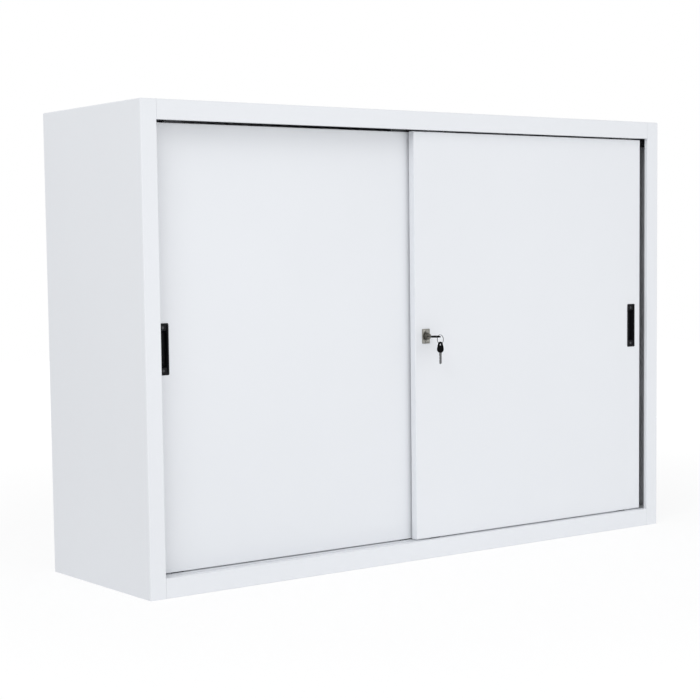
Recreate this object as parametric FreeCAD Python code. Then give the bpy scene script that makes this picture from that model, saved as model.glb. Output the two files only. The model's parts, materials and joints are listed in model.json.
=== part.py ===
"""Sliding door cabinet in folded steel sheet: carcass, two hanging doors, rollers, lock and keys.

Millimetres. X runs to the right, Y to the back, Z up. The front face is at Y = -D/2
and the cabinet stands on Z = 0. The doors stand where they do at rest: the rear door
shut at the left, the front door 17 mm short of shut at the right.
"""
import FreeCAD
import Part
import os

V = FreeCAD.Vector

# Carcass
W = 1500.0
D = 420.0
H = 1016.0
T = 1.0
BEND = 3.0
FOLD = 1.4
CLEAR = 0.5
SEAM = 0.4
STILE = 37.5
LIP = 10.0
RAIL_TOP = 41.0
BASE = 42.0
REAR_FLANGE = 25.0
SIDE_FOOT = 20.0
SCREW_FLANGE = 24.0
SCREW_IN = 50.0
BACK_LIFT = 5.0

# Doors
DOOR_LAP = 34.0
DOOR_T = 17.0
DOOR_GAP_BELOW = 2.5
DOOR_GAP_ABOVE = 3.0
DOOR_RETURN = 13.0
FRONT_DEPTH = 14.0
DOOR_PITCH = 24.0
SHUT_IN = 33.0
AJAR = 17.0
STIFF_FOOT = 64.0
STIFF_HAT = 40.0
STIFF_SHORT = 2.5

# Top track and rollers
TRACK_T = 1.5
TREAD_ABOVE_DOOR = 11.0
TREAD_W = 10.5
WHEEL_R = 11.0
WHEEL_W = 6.0
AXLE_R = 3.0
RUNNING_FIT = 0.05
HANGER_IN = 70.0
HANGER_T = 2.0

# Bottom guides
GROOVE_W = 6.4
GROOVE_DEEP = 11.0
GUIDE_W = 5.6
GUIDE_L = 30.0
GUIDE_IN = 60.0
GUIDE_REACH = 9.0

# Inside
PART_FROM = 64.0
MEMBER_T = 1.5
SHELF_TOPS = (355.0, 680.0)
SHELF_FROM = 68.0
SHELF_REAR_IN = 8.0
SHELF_FOLD = 25.0
UPRIGHT_W = 20.0
UPRIGHT_DEEP = 9.0
UPRIGHT_T = 1.2
UPRIGHT_Z = (62.0, 985.0)
UPRIGHT_FRONT = 100.0
UPRIGHT_REAR_IN = 48.0
SLOT_W = 3.0
SLOT_H = 12.0
SLOT_PITCH = 54.0
CLIP_T = 1.5

# Flush pulls
PULL_W = 25.5
PULL_H = 107.0
PULL_PROUD = 1.2
PULL_EDGE = 19.2
PULL_Z = 510.0
PULL_HOLE_W = 22.4
PULL_HOLE_H = 103.4
PULL_FIT = 0.2
PULL_WALL = 1.5
PULL_DEEP = 13.0
POCKET_HALF = 39.0
POCKET_DRAFT = 5.0
STUD_AT = 44.5
STUD_R = 3.0
SNAP_AT = 30.0

# Lock, seen from its axis
LOCK_FROM_EDGE = 31.0
LOCK_Z = 510.0
PLATE_W = 22.4
PLATE_H = 33.6
PLATE_T = 2.0
BARREL_R = 8.0
BARREL_PROUD = 10.3
PLUG_R = 5.5
CAM_R = 10.0
CAM_T = 3.0
CAM_OFF = 1.0
CAM_HALF = 4.5
TOOTH_GAP = 1.5
TOOTH_T = 3.0
TOOTH_BELOW = 7.0
HEAD_L = 25.2
HEAD_W = 17.6
HEAD_TIP_W = 12.6
HEAD_T = 4.6
HEAD_TIP_T = 3.2
HEAD_ROUND = 0.8
PANEL_IN = 2.2
PANEL_DEEP = 0.4
BLADE_L = 25.5
BLADE_W = 6.0
BLADE_T = 2.0
BLADE_HELD = 7.0
GROOVE_IN_BLADE = 0.5
SHANK_OUT = 10.8
RING_R = 10.2
WIRE_R = 0.7
RING_DROP = 5.6
LINK_CLEAR = 0.6
EYE_R = 2.6
EYE_IN = 6.5

YF = -D / 2
YB = D / 2
XL = -W / 2
XR = W / 2
RAIL_Z = H - RAIL_TOP
DOOR_W = (W - 2 * SHUT_IN + DOOR_LAP) / 2
UPRIGHT_D = (UPRIGHT_FRONT, D - UPRIGHT_REAR_IN)
SHELF_TO = D - SHELF_REAR_IN
DOOR_Z0 = BASE + DOOR_GAP_BELOW
DOOR_Z1 = RAIL_Z - DOOR_GAP_ABOVE
TREAD_Z = DOOR_Z1 + TREAD_ABOVE_DOOR
WHEEL_Z = TREAD_Z + WHEEL_R


def box(x0, x1, y0, y1, z0, z1):
    return Part.makeBox(x1 - x0, y1 - y0, z1 - z0, V(x0, y0, z0))


def deep(x0, x1, d0, d1, z0, z1):
    """A box whose second pair is depth behind the cabinet's front face."""
    return box(x0, x1, YF + d0, YF + d1, z0, z1)


def rod(x, d0, d1, z, r):
    """A round bar along Y."""
    return Part.makeCylinder(r, d1 - d0, V(x, YF + d0, z), V(0, 1, 0))


def join(*shapes):
    out = shapes[0]
    for s in shapes[1:]:
        out = out.fuse(s)
    return out.removeSplitter()


def along(e, axis):
    """True for a straight edge along the axis."""
    if len(e.Vertexes) != 2:
        return False
    run = e.Vertexes[1].Point - e.Vertexes[0].Point
    return run.Length > 1e-6 and abs(abs(getattr(run, axis)) - e.Length) < 1e-6


def edges_at(shape, axis, **at):
    """Straight edges along one axis that pass through the given coordinates."""
    found = []
    for e in shape.Edges:
        if not along(e, axis):
            continue
        c = e.CenterOfMass
        if all(abs(getattr(c, k) - v) < 1e-4 for k, v in at.items()):
            found.append(e)
    return found


def slab(w, h, r, x, z, d0, d1):
    """A plate with rounded corners that faces the front."""
    b = deep(x - w / 2, x + w / 2, d0, d1, z - h / 2, z + h / 2)
    return b.makeFillet(r, [e for e in b.Edges if along(e, "y")])


def prism_x(points, x0, x1):
    """A closed outline of depth and height pairs, drawn out along X."""
    line = [V(x0, YF + d, z) for d, z in points]
    face = Part.Face(Part.makePolygon(line + line[:1]))
    return face.extrude(V(x1 - x0, 0, 0))


def rounding_z(x, d, z0, z1, r, sx):
    """What a rounded front edge takes off a square one, along Z. The metal lies on the sx side."""
    a, b = sorted((x, x + sx * r))
    tool = deep(a, b, d, d + r, z0, z1)
    return tool.cut(Part.makeCylinder(r, z1 - z0, V(x + sx * r, YF + d + r, z0)))


def mirrored(shape):
    return shape.mirror(V(0, 0, 0), V(1, 0, 0))


PARTS = {}


def put(name, *shapes):
    """One solid is kept as it is, several loose ones go in as a compound."""
    solids = [s for shape in shapes for s in shape.Solids]
    PARTS[name] = solids[0] if len(solids) == 1 else Part.makeCompound(solids)


# ---------------------------------------------------------------- side panels
def side_panel():
    x0 = XL
    outer = box(x0, x0 + STILE, YF, YB, 0, H)
    corners = edges_at(outer, "z", x=x0)
    corners += edges_at(outer, "y", x=x0, z=H)
    corners += edges_at(outer, "x", y=YF, z=H)
    corners += edges_at(outer, "x", y=YB, z=H)
    outer = outer.makeFillet(BEND, corners)
    inner = box(x0 + T, x0 + STILE + 1, YF + T, YB - T, T, H - T)
    corners = edges_at(inner, "z", x=x0 + T)
    corners += edges_at(inner, "y", x=x0 + T, z=H - T)
    corners += edges_at(inner, "x", y=YF + T, z=H - T)
    corners += edges_at(inner, "x", y=YB - T, z=H - T)
    inner = inner.makeFillet(BEND - T, corners)
    shell = outer.cut(inner)
    shell = shell.cut(box(x0 + REAR_FLANGE, x0 + STILE + 1, YB - T - 0.01, YB + 1, -1, RAIL_Z))
    shell = shell.cut(box(x0 + SIDE_FOOT, x0 + STILE + 1, YF + T, YB + 1, -1, T + 0.01))
    lip = deep(x0 + STILE - T, x0 + STILE, 0, LIP, BASE, RAIL_Z)
    down = deep(x0 + STILE - T, x0 + STILE, PART_FROM, D - BEND - T, H - SCREW_FLANGE, H - T / 2)
    shell = join(shell, lip, down)
    return shell.cut(rounding_z(x0 + STILE, 0, BASE, RAIL_Z, FOLD, -1))


left_side = side_panel()
put("left_side_panel", left_side)
put("right_side_panel", mirrored(left_side))

# ---------------------------------------------------------------- top panel
x0 = XL + STILE
x1 = XR - STILE
outer = box(x0, x1, YF, YB, RAIL_Z, H)
outer = outer.makeFillet(BEND, edges_at(outer, "x", y=YF, z=H) + edges_at(outer, "x", y=YB, z=H))
inner = box(x0 - 1, x1 + 1, YF + T, YB - T, RAIL_Z - 1, H - T)
rims = edges_at(inner, "x", y=YF + T, z=H - T) + edges_at(inner, "x", y=YB - T, z=H - T)
inner = inner.makeFillet(BEND - T, rims)
top = outer.cut(inner)
lip = deep(x0, x1, 0, LIP, RAIL_Z, RAIL_Z + T)
flanges = []
for a, b in ((x0, x0 + T), (x1 - T, x1)):
    flanges.append(deep(a, b, PART_FROM, D - BEND - T, H - SCREW_FLANGE, H - T / 2))
top = join(top, lip, *flanges)
top = top.makeFillet(FOLD, edges_at(top, "x", y=YF, z=RAIL_Z))
for a in (x0, x1 - SEAM):
    top = top.cut(deep(a, a + SEAM, -1, LIP + 1, RAIL_Z - 1, H + 1))
put("top_panel", top)

# ---------------------------------------------------------------- bottom panel and its grooves
tracks = [FRONT_DEPTH + DOOR_T / 2, FRONT_DEPTH + DOOR_PITCH + DOOR_T / 2]
reach = XR - SHUT_IN - GUIDE_IN + GUIDE_L / 2 + 4.0
floor = deep(XL + T, XR - T, BEND + T, D - 2 * T, BASE - T, BASE)
ledge = deep(x0, x1, 0, BEND + T + 1, BASE - T, BASE)
rail = deep(x0, x1, 0, T, 0, BASE)
rail_foot = deep(x0, x1, 0, SIDE_FOOT, 0, T)
rear_x = XR - SIDE_FOOT - 1
rear = deep(-rear_x, rear_x, D - 3 * T, D - 2 * T, 0, BASE)
rear_foot = deep(-rear_x, rear_x, D - 2 * T - SIDE_FOOT, D - 2 * T, 0, T)
bottom = join(floor, ledge, rail, rail_foot, rear, rear_foot)
for a, b in ((XL + T, XL + 2 * T), (XR - 2 * T, XR - T)):
    bottom = join(bottom, deep(a, b, PART_FROM, D - BEND - 3 * T, BASE - SCREW_FLANGE, BASE - T / 2))
for c in tracks:
    bottom = bottom.cut(deep(-reach, reach, c - GROOVE_W / 2, c + GROOVE_W / 2, BASE - T - 1, BASE + 1))
rail_edges = edges_at(bottom, "x", y=YF, z=BASE) + edges_at(bottom, "x", y=YF, z=0)
bottom = bottom.makeFillet(FOLD, rail_edges)
for a in (x0, x1 - SEAM):
    bottom = bottom.cut(deep(a, a + SEAM, -1, BEND + T, -1, BASE + 1))
put("bottom_panel", bottom)

guide_x = reach + T
z1 = BASE - T
track = deep(-guide_x - 10, guide_x + 10, tracks[0] - 10, tracks[1] + 10, z1 - T, z1)
for c in tracks:
    half = GROOVE_W / 2
    track = join(track, deep(-guide_x, guide_x, c - half - T, c + half + T, z1 - GROOVE_DEEP - T, z1))
for c in tracks:
    half = GROOVE_W / 2
    track = track.cut(deep(-reach, reach, c - half, c + half, z1 - GROOVE_DEEP, z1 + 1))
put("bottom_track", track)

# ---------------------------------------------------------------- back, partition, cross members
put("back_panel", deep(XL + BEND + CLEAR, XR - BEND - CLEAR, D - 2 * T, D - T, BACK_LIFT, H - BEND - T))

web = deep(-T / 2, T / 2, PART_FROM, D - 2 * T, BASE, H - T)
fold = 15.0
partition = join(
    web,
    deep(-T / 2, fold, PART_FROM, PART_FROM + T, BASE, H - T),
    deep(-T / 2, fold, D - 3 * T, D - 2 * T, BASE, H - T),
    deep(-T / 2, fold, PART_FROM, D - 2 * T, BASE, BASE + T),
    deep(-T / 2, fold, PART_FROM, D - 2 * T, H - 2 * T, H - T),
).cut(deep(-T, fold + 1, D - BEND - T, D, H - BEND - T, H))
put("centre_partition", partition)

# Each cross member is a channel on its side: the floor rests on it and it rests on the ground.
members = []
for x in (-W / 4, 0.0, W / 4):
    member = deep(x - 20, x + 20, PART_FROM, D - 4 * T - SIDE_FOOT, 0.0, BASE - T)
    member = member.cut(deep(x - 20 + MEMBER_T, x + 21, 0, D, MEMBER_T, BASE - T - MEMBER_T))
    members.append(member)
put("floor_cross_members", *members)

# ---------------------------------------------------------------- uprights, clips, shelves
slots = []
z = UPRIGHT_Z[0] + 18.0
while z < UPRIGHT_Z[1] - 18.0:
    slots.append(z)
    z += SLOT_PITCH


def nearest_slot(top):
    """The slot whose clip carries a shelf with this top."""
    return min(slots, key=lambda s: abs(s + SLOT_H / 2 + 8.0 + T - top))


def upright(wall, facing, d):
    """A channel with its legs on the wall and a slotted web that faces the bay."""
    a, b = sorted((wall, wall + facing * UPRIGHT_DEEP))
    out = deep(a, b, d - UPRIGHT_W / 2, d + UPRIGHT_W / 2, *UPRIGHT_Z)
    a, b = sorted((wall, wall + facing * (UPRIGHT_DEEP - UPRIGHT_T)))
    half = UPRIGHT_W / 2 - UPRIGHT_T
    out = out.cut(deep(a, b, d - half, d + half, 0, H))
    a, b = sorted((wall + facing * (UPRIGHT_DEEP - UPRIGHT_T - 1), wall + facing * (UPRIGHT_DEEP + 1)))
    for s in slots:
        out = out.cut(deep(a, b, d - SLOT_W / 2, d + SLOT_W / 2, s - SLOT_H / 2, s + SLOT_H / 2))
    return out


def clip(wall, facing, d, top):
    """A plate on the web, a tongue through its slot and a ledge under the shelf."""
    s = nearest_slot(top)
    face = wall + facing * UPRIGHT_DEEP
    z = top - T
    low = s - SLOT_H / 2 - 4.0

    def span(u, v):
        return sorted((face + facing * u, face + facing * v))

    plate = deep(*span(0, CLIP_T), d - 7, d + 7, low, z)
    ledge_part = deep(*span(0, 11), d - 7, d + 7, z - CLIP_T, z)
    tongue = deep(*span(-3, 0.5), d - SLOT_W / 2 + 0.2, d + SLOT_W / 2 - 0.2, s - SLOT_H / 2, s + SLOT_H / 2 - 1)
    return join(plate, ledge_part, tongue)


walls = ((XL + T, 1, -1), (-T / 2, -1, -1), (T / 2, 1, 1), (XR - T, -1, 1))
uprights = []
clips = []
shelf_tops = [nearest_slot(t) + SLOT_H / 2 + 8.0 + T for t in SHELF_TOPS]
for wall, facing, bay in walls:
    for d in UPRIGHT_D:
        uprights.append(upright(wall, facing, d))
        for top_z in shelf_tops:
            clips.append(clip(wall, facing, d, top_z))
put("shelf_uprights", *uprights)
put("shelf_clips", *clips)


def shelf(a, b, top_z):
    z = top_z - SHELF_FOLD
    return join(
        deep(a, b, SHELF_FROM, SHELF_TO, top_z - T, top_z),
        deep(a, b, SHELF_FROM, SHELF_FROM + T, z, top_z),
        deep(a, b, SHELF_TO - T, SHELF_TO, z, top_z),
        deep(a, b, SHELF_FROM, SHELF_FROM + 12, z, z + T),
        deep(a, b, SHELF_TO - 12, SHELF_TO, z, z + T),
    )


clear = UPRIGHT_DEEP + CLIP_T + 0.5
for level, top_z in zip(("lower", "upper"), shelf_tops):
    put("shelf_left_" + level, shelf(XL + T + clear, -T / 2 - clear, top_z))
    put("shelf_right_" + level, shelf(T / 2 + clear, XR - T - clear, top_z))

# ---------------------------------------------------------------- top track
front_web = FRONT_DEPTH + DOOR_T - T
webs = (front_web, front_web + DOOR_PITCH)
ends = (XL + BEND + CLEAR, XR - BEND - CLEAR)
track = deep(*ends, FRONT_DEPTH, webs[1] + TRACK_T, H - T - TRACK_T, H - T)
for w in webs:
    web = deep(*ends, w, w + TRACK_T, TREAD_Z - TRACK_T, H - T)
    tread = deep(*ends, w + TRACK_T - TREAD_W, w + TRACK_T, TREAD_Z - TRACK_T, TREAD_Z)
    track = join(track, web, tread)
put("top_track", track)

# ---------------------------------------------------------------- buffers that stop the doors
stop = SHUT_IN - 0.5
block = deep(XL + T, XL + stop, FRONT_DEPTH + 0.5, FRONT_DEPTH + DOOR_PITCH + DOOR_T + 0.5, DOOR_Z1 - 15.0, DOOR_Z1 + 2.0)
block = block.makeFillet(2.0, edges_at(block, "y", x=XL + stop, z=DOOR_Z1 - 15.0))
put("door_buffers", block, mirrored(block))


# ---------------------------------------------------------------- doors
def door_panel(a, d0, holes):
    b = a + DOOR_W
    outer = deep(a, b, d0, d0 + DOOR_T, DOOR_Z0, DOOR_Z1)
    rims = edges_at(outer, "z", y=YF + d0) + edges_at(outer, "x", y=YF + d0)
    outer = outer.makeFillet(FOLD, rims)
    inner = deep(a + T, b - T, d0 + T, d0 + DOOR_T - T, DOOR_Z0 + T, DOOR_Z1 - T)
    n = DOOR_RETURN
    back = deep(a + n, b - n, d0 + T, d0 + DOOR_T + 1, DOOR_Z0 + n, DOOR_Z1 - n)
    out = outer.cut(inner).cut(back)
    for hole in holes:
        out = out.cut(hole)
    return out


def stiffener(x, d0):
    z0 = DOOR_Z0 + T
    z1 = DOOR_Z1 - T
    crown = d0 + DOOR_T - STIFF_SHORT
    half = STIFF_HAT / 2
    foot = deep(x - STIFF_FOOT / 2, x + STIFF_FOOT / 2, d0 + T, d0 + 2 * T, z0, z1)
    hat = deep(x - half, x + half, d0 + T, crown, z0, z1)
    return join(foot, hat).cut(deep(x - half + T, x + half - T, d0 + T, crown - T, z0 - 1, z1 + 1))


def hanger(x, d0):
    """A foot on the door's top flange and a leg that stands beside the wheel."""
    foot = deep(x - 26, x + 26, d0 + 2, d0 + DOOR_T - 2, DOOR_Z1, DOOR_Z1 + HANGER_T)
    leg = deep(x - 20, x + 20, d0 + 3.5, d0 + 3.5 + HANGER_T, DOOR_Z1, WHEEL_Z + 10)
    leg = leg.makeFillet(8.0, edges_at(leg, "y", z=WHEEL_Z + 10))
    out = join(foot, leg)
    out = out.cut(rod(x, d0, d0 + 10, WHEEL_Z, AXLE_R))
    for dx in (-17, 17):
        out = out.cut(Part.makeCylinder(2.5, 8, V(x + dx, YF + d0 + 10.5, DOOR_Z1 - 2)))
    return out


def bolt(x, d0):
    """A pan head on the hanger's foot and a shank through the door's top flange."""
    y = YF + d0 + 10.5
    head = Part.makeCylinder(4.2, 2.6, V(x, y, DOOR_Z1 + HANGER_T))
    shank = Part.makeCylinder(2.5, HANGER_T + T + 5, V(x, y, DOOR_Z1 - T - 5))
    return join(head, shank)


WHEEL_FROM = 8.5


def axle(x, d0):
    """A riveted head, a collar against the leg, the pin and a ring that keeps the wheel on."""
    leg = d0 + 3.5
    end = d0 + WHEEL_FROM + WHEEL_W
    return join(
        rod(x, leg - 1.3, leg, WHEEL_Z, 5.0),
        rod(x, leg, end + 1.0, WHEEL_Z, AXLE_R),
        rod(x, leg + HANGER_T, d0 + WHEEL_FROM - 0.2, WHEEL_Z, 4.6),
        rod(x, end + 0.2, end + 1.0, WHEEL_Z, 4.6),
    )


def wheel(x, d0):
    a = d0 + WHEEL_FROM
    b = a + WHEEL_W
    out = rod(x, a, b, WHEEL_Z, WHEEL_R)
    for face in (a, b - 1.2):
        groove = rod(x, face, face + 1.2, WHEEL_Z, 8.2).cut(rod(x, face, face + 1.2, WHEEL_Z, 5.2))
        out = out.cut(groove)
    for k in range(3):
        hole = rod(x, a, b, WHEEL_Z + 6.7, 1.0)
        hole.rotate(V(x, 0, WHEEL_Z), V(0, 1, 0), 120 * k)
        out = out.cut(hole)
    return out.cut(rod(x, a, b, WHEEL_Z, AXLE_R + RUNNING_FIT))


def guide(x, d0):
    """A nylon foot inside the door, with a tongue down into the groove."""
    c = d0 + DOOR_T / 2
    base = deep(x - 22, x + 22, c - 6.5, c + 6.5, DOOR_Z0 + T, DOOR_Z0 + T + 4)
    tongue = deep(x - GUIDE_L / 2, x + GUIDE_L / 2, c - GUIDE_W / 2, c + GUIDE_W / 2, BASE - GUIDE_REACH, DOOR_Z0 + T)
    tongue = tongue.makeFillet(GUIDE_W / 2 - 0.05, edges_at(tongue, "z"))
    return join(base, tongue)


def guide_hole(x, d0):
    c = d0 + DOOR_T / 2
    return deep(x - GUIDE_L / 2, x + GUIDE_L / 2, c - GUIDE_W / 2, c + GUIDE_W / 2, DOOR_Z0 - 1, DOOR_Z0 + T)


def bolt_hole(x, d0):
    return Part.makeCylinder(2.5, 3 * T, V(x, YF + d0 + 10.5, DOOR_Z1 - 2 * T))


def pull(x, d0):
    """A rim on the door's face and a cup behind it, with a shallow step at each end."""
    rim = slab(PULL_W, PULL_H, 2.5, x, PULL_Z, d0 - PULL_PROUD, d0)
    rim = rim.makeFillet(0.5, [e for e in rim.Edges if abs(e.CenterOfMass.y - (YF + d0 - PULL_PROUD)) < 1e-6])
    cup_w = PULL_HOLE_W - 2 * PULL_FIT
    cup_h = PULL_HOLE_H - 2 * PULL_FIT
    cup = slab(cup_w, cup_h, 1.5, x, PULL_Z, d0, d0 + PULL_DEEP)
    out = join(rim, cup)
    w = cup_w - 2 * PULL_WALL
    h = cup_h - 2 * PULL_WALL
    out = out.cut(slab(w, h, 1.5, x, PULL_Z, d0 - PULL_PROUD - 1, d0 + 1.5))
    far = d0 + PULL_DEEP - PULL_WALL
    z = PULL_Z
    near = POCKET_HALF
    deepest = POCKET_HALF - POCKET_DRAFT
    outline = [(d0 + 1, z - near), (d0 + 1, z + near), (far, z + deepest), (far, z - deepest)]
    out = out.cut(prism_x(outline, x - w / 2, x + w / 2))
    for s in (-1, 1):
        out = join(out, rod(x, d0 + 0.7, d0 + 2, z + s * STUD_AT, STUD_R))
        for side in (-1, 1):
            a, b = sorted((x + side * (cup_w / 2 - 0.5), x + side * (cup_w / 2 + 1.0)))
            out = join(out, deep(a, b, d0 + T, d0 + T + 2.5, z + s * SNAP_AT - 5, z + s * SNAP_AT + 5))
    return out


def pull_hole(x, d0):
    return slab(PULL_HOLE_W, PULL_HOLE_H, 1.5, x, PULL_Z, d0 - 1, d0 + T + 1)


FRONT_A = XR - SHUT_IN - AJAR - DOOR_W
FRONT_B = FRONT_A + DOOR_W
REAR_A = XL + SHUT_IN
REAR_B = REAR_A + DOOR_W
REAR_DEPTH = FRONT_DEPTH + DOOR_PITCH
LOCK_X = FRONT_A + LOCK_FROM_EDGE
front_pull_x = FRONT_B - PULL_EDGE - PULL_W / 2
rear_pull_x = REAR_A + PULL_EDGE + PULL_W / 2


def door(name, a, d0, pull_x, extra):
    hangers = (a + HANGER_IN, a + DOOR_W - HANGER_IN)
    guides = (a + GUIDE_IN, a + DOOR_W - GUIDE_IN)
    bolts = [x + dx for x in hangers for dx in (-17, 17)]
    holes = [pull_hole(pull_x, d0)] + [guide_hole(x, d0) for x in guides] + [bolt_hole(x, d0) for x in bolts]
    put(name + "_door_panel", door_panel(a, d0, holes + extra))
    put(name + "_door_stiffener", stiffener(a + DOOR_W / 2, d0))
    put(name + "_door_hangers", *[hanger(x, d0) for x in hangers])
    put(name + "_hanger_bolts", *[bolt(x, d0) for x in bolts])
    put(name + "_door_axles", *[axle(x, d0) for x in hangers])
    put(name + "_roller_left", wheel(hangers[0], d0))
    put(name + "_roller_right", wheel(hangers[1], d0))
    put(name + "_door_guides", *[guide(x, d0) for x in guides])
    put(name + "_door_pull", pull(pull_x, d0))


# ---------------------------------------------------------------- lock
face = FRONT_DEPTH
plate_face = face - PLATE_T
barrel_face = plate_face - BARREL_PROUD
back = FRONT_DEPTH + DOOR_T
screw_z = (LOCK_Z - PLATE_H / 2 + 4.5, LOCK_Z + PLATE_H / 2 - 4.5)
SCREW_R = 1.5

plate = slab(PLATE_W, PLATE_H, 1.5, LOCK_X, LOCK_Z, plate_face, face)
rims = [e for e in plate.Edges if abs(e.CenterOfMass.y - (YF + plate_face)) < 1e-6]
plate = plate.makeChamfer(0.6, rims)
plate = plate.cut(rod(LOCK_X, 0, 40, LOCK_Z, BARREL_R))
lock_holes = [rod(LOCK_X, face - 1, face + 2, LOCK_Z, BARREL_R)]
screws = []
for z in screw_z:
    plate = plate.cut(rod(LOCK_X, 0, 40, z, SCREW_R))
    lock_holes.append(rod(LOCK_X, face - 1, face + 2, z, SCREW_R))
    head = rod(LOCK_X, plate_face - 1.3, plate_face, z, 2.9)
    head = head.makeFillet(0.7, [e for e in head.Edges if abs(e.CenterOfMass.y - (YF + plate_face - 1.3)) < 1e-6])
    cross = deep(LOCK_X - 1.7, LOCK_X + 1.7, plate_face - 2, plate_face - 0.7, z - 0.35, z + 0.35)
    cross = cross.fuse(deep(LOCK_X - 0.35, LOCK_X + 0.35, plate_face - 2, plate_face - 0.7, z - 1.7, z + 1.7))
    screws.append(join(head, rod(LOCK_X, plate_face, face + 7, z, SCREW_R)).cut(cross))
put("lock_plate", plate)
put("lock_screws", *screws)

barrel = rod(LOCK_X, barrel_face, back - 1.5, LOCK_Z, BARREL_R)
rims = [e for e in barrel.Edges if abs(e.CenterOfMass.y - (YF + barrel_face)) < 1e-6]
barrel = barrel.makeFillet(1.2, rims)
barrel = barrel.cut(rod(LOCK_X, 0, 40, LOCK_Z, PLUG_R + RUNNING_FIT))
put("lock_barrel", barrel)

nut_from = face + T
nut = rod(LOCK_X, nut_from, nut_from + 4, LOCK_Z, 12.0)
nut = nut.cut(rod(LOCK_X, 0, 40, LOCK_Z, BARREL_R))
for s in (-1, 1):
    nut = nut.cut(deep(LOCK_X - 20, LOCK_X + 20, 0, 40, *sorted((LOCK_Z + s * 10.4, LOCK_Z + s * 20))))
put("lock_nut", nut)

plug_face = barrel_face - 0.4
cam_from = back + CAM_OFF
tail = 3.0
plug = rod(LOCK_X, plug_face, back - 0.5, LOCK_Z, PLUG_R)
plug = join(plug, rod(LOCK_X, back - 0.5, cam_from, LOCK_Z, PLUG_R - 1))
square = deep(LOCK_X - tail, LOCK_X + tail, cam_from, cam_from + CAM_T, LOCK_Z - tail, LOCK_Z + tail)
plug = join(plug, square)
blade_end = plug_face - SHANK_OUT + BLADE_L
keyway = deep(LOCK_X - BLADE_W / 2, LOCK_X + BLADE_W / 2, plug_face - 1, blade_end, LOCK_Z - BLADE_T / 2, LOCK_Z + BLADE_T / 2)
plug = plug.cut(keyway)
screw_hole = rod(LOCK_X, back - 4, 60, LOCK_Z, 1.5)
put("lock_plug", plug.cut(screw_hole))

cam = rod(LOCK_X, cam_from, cam_from + CAM_T, LOCK_Z, 5.2)
arm = deep(LOCK_X, LOCK_X + CAM_R - 0.5, cam_from, cam_from + CAM_T, LOCK_Z - CAM_HALF, LOCK_Z + CAM_HALF)
cam = join(cam, arm.common(rod(LOCK_X, cam_from, cam_from + CAM_T, LOCK_Z, CAM_R)))
put("lock_cam", cam.cut(square))
cam_screw = join(rod(LOCK_X, cam_from + CAM_T, cam_from + CAM_T + 1.4, LOCK_Z, 4.2), rod(LOCK_X, back - 4, cam_from + CAM_T, LOCK_Z, 1.5))
put("lock_cam_screw", cam_screw)

# The keeper stands off the rear door, clear of the front door's back.
shut_x = LOCK_X + AJAR
tooth_x = shut_x - CAM_HALF - TOOTH_GAP - TOOTH_T
keeper_z = (LOCK_Z - 20.0, LOCK_Z - TOOTH_BELOW)
tooth = deep(tooth_x, tooth_x + TOOTH_T, back + CAM_OFF + 0.6, REAR_DEPTH, *keeper_z)
keeper = join(tooth, deep(tooth_x, tooth_x + 11, REAR_DEPTH - 1, REAR_DEPTH, *keeper_z))
rivets = []
rear_holes = []
for z in (keeper_z[0] + 3.5, keeper_z[1] - 3.0):
    x = tooth_x + 7.5
    hole = rod(x, REAR_DEPTH - 2, REAR_DEPTH + 2, z, 1.3)
    keeper = keeper.cut(hole)
    rear_holes.append(hole)
    rivets.append(join(rod(x, REAR_DEPTH - 1.8, REAR_DEPTH - 1, z, 2.2), rod(x, REAR_DEPTH - 1, REAR_DEPTH + 3, z, 1.3)))
put("lock_keeper", keeper)
put("keeper_rivets", *rivets)


# ---------------------------------------------------------------- keys and ring
def egg(inset):
    """The head's outline drawn in by an inset: a wide round at the blade and a narrow one at the eye."""
    big = HEAD_W / 2 - inset
    small = HEAD_TIP_W / 2 - inset
    wide_x = HEAD_W / 2
    eye_x = HEAD_L - HEAD_TIP_W / 2
    lean = (big - small) / (eye_x - wide_x)
    rise = (1 - lean ** 2) ** 0.5
    a = V(wide_x + big * lean, big * rise, -HEAD_T)
    b = V(eye_x + small * lean, small * rise, -HEAD_T)
    c = V(b.x, -b.y, b.z)
    d = V(a.x, -a.y, a.z)
    wide = Part.Arc(d, V(wide_x - big, 0, -HEAD_T), a).toShape()
    narrow = Part.Arc(b, V(eye_x + small, 0, -HEAD_T), c).toShape()
    outline = Part.Wire([wide, Part.makeLine(a, b), narrow, Part.makeLine(c, d)])
    return Part.Face(outline).extrude(V(0, 0, 2 * HEAD_T))


def wedge(less):
    """What lies between the head's two faces, thick at the blade, with each face drawn in."""
    line = []
    for x, side in ((-1, -1), (HEAD_L + 1, -1), (HEAD_L + 1, 1), (-1, 1)):
        half = (HEAD_T + (HEAD_TIP_T - HEAD_T) * x / HEAD_L) / 2 - less
        line.append(V(x, -HEAD_W, side * half))
    return Part.Face(Part.makePolygon(line + line[:1])).extrude(V(0, 2 * HEAD_W, 0))


def key_head():
    """A head that lies flat, with a sunk panel on each side and its eye near the far end.

    The blade end is at the origin, and the head runs to +X.
    """
    head = egg(0).common(wedge(0))
    rims = [e for e in head.Edges if abs(e.CenterOfMass.z) > HEAD_TIP_T / 2 - 0.1]
    head = head.makeFillet(HEAD_ROUND, rims)
    head = head.cut(egg(PANEL_IN).cut(wedge(PANEL_DEEP)))
    socket = box(-1, BLADE_HELD, -BLADE_W / 2, BLADE_W / 2, -BLADE_T / 2, BLADE_T / 2)
    eye = Part.makeCylinder(EYE_R, 2 * HEAD_T, V(HEAD_L - EYE_IN, 0, -HEAD_T))
    return head.cut(socket).cut(eye)


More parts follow.
